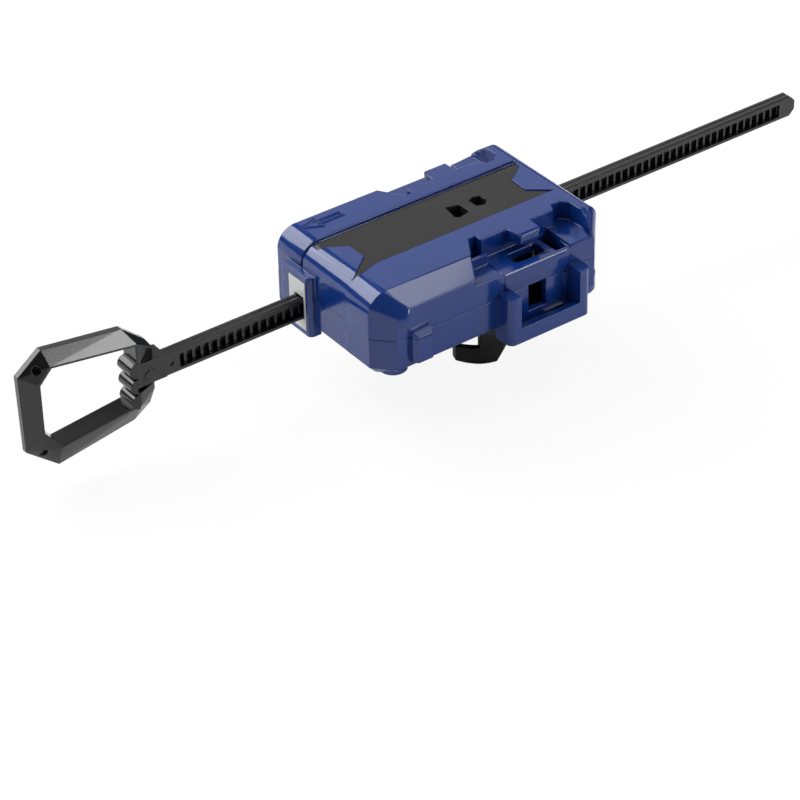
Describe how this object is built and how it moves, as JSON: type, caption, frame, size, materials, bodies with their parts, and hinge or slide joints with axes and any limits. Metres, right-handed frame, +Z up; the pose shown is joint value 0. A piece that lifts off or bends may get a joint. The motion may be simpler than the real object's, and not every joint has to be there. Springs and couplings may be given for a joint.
{
  "type": "spinning top launcher",
  "caption": "Hand-held winder launcher for a spinning top: a toothed strip with a pull ring drives a geared, hooked chuck under a boxy two-part housing.",
  "frame": {"origin": "on the chuck's axis, in the mouth of its centre hole", "axes": "+X along the strip from the pull ring to its tail, +Z up out of the top face, -Z out of the chuck"},
  "size_m": [0.2773, 0.0674, 0.0493],
  "materials": {
    "blue_shell": "glossy blue ABS",
    "satin_panel": "satin dark grey",
    "grey_plate": "light grey, semi-gloss",
    "black_gloss": "glossy black",
    "strip_black": "fine satin black",
    "ring_black": "glossy black",
    "white_plastic": "natural white",
    "white_wheel": "white",
    "grey_plastic": "mid grey",
    "steel": "plated steel"
  },
  "bodies": {
    "housing": {"top_shell": "blue_shell", "bottom_shell": "blue_shell", "top_panel": "satin_panel", "inlet_plate": "grey_plate", "collar": "black_gloss", "collar_screws": "steel", "shell_screws": "steel", "upper_bush": "white_plastic", "lower_bush": "white_plastic", "glide_washer": "steel"},
    "winder": {"strip": "strip_black", "pull_ring": "ring_black", "rivet": "ring_black"},
    "gear": {"drive_gear": "white_plastic", "clutch_wheel": "white_wheel", "spindle": "steel", "spindle_clip": "steel", "gear_washer": "steel"},
    "chuck": {"chuck": "black_gloss", "ratchet_ring": "grey_plastic"}
  },
  "joints": [
    {"name": "winder_pull", "type": "slide", "parent": "housing", "child": "winder", "axis": [1, 0, 0], "range_m": [-0.12, 0.045]},
    {"name": "gear_spin", "type": "hinge", "parent": "housing", "child": "gear", "pos_m": [0, 0, 0.0157], "axis": [0, 0, 1], "continuous": true},
    {"name": "chuck_spin", "type": "hinge", "parent": "housing", "child": "chuck", "pos_m": [0, 0, 0.003], "axis": [0, 0, 1], "continuous": true}
  ],
  "couplings": [
    {"joint": "gear_spin", "follows": "winder_pull", "rad_per_m": -127.4},
    {"joint": "chuck_spin", "follows": "winder_pull", "rad_per_m": -127.4}
  ]
}
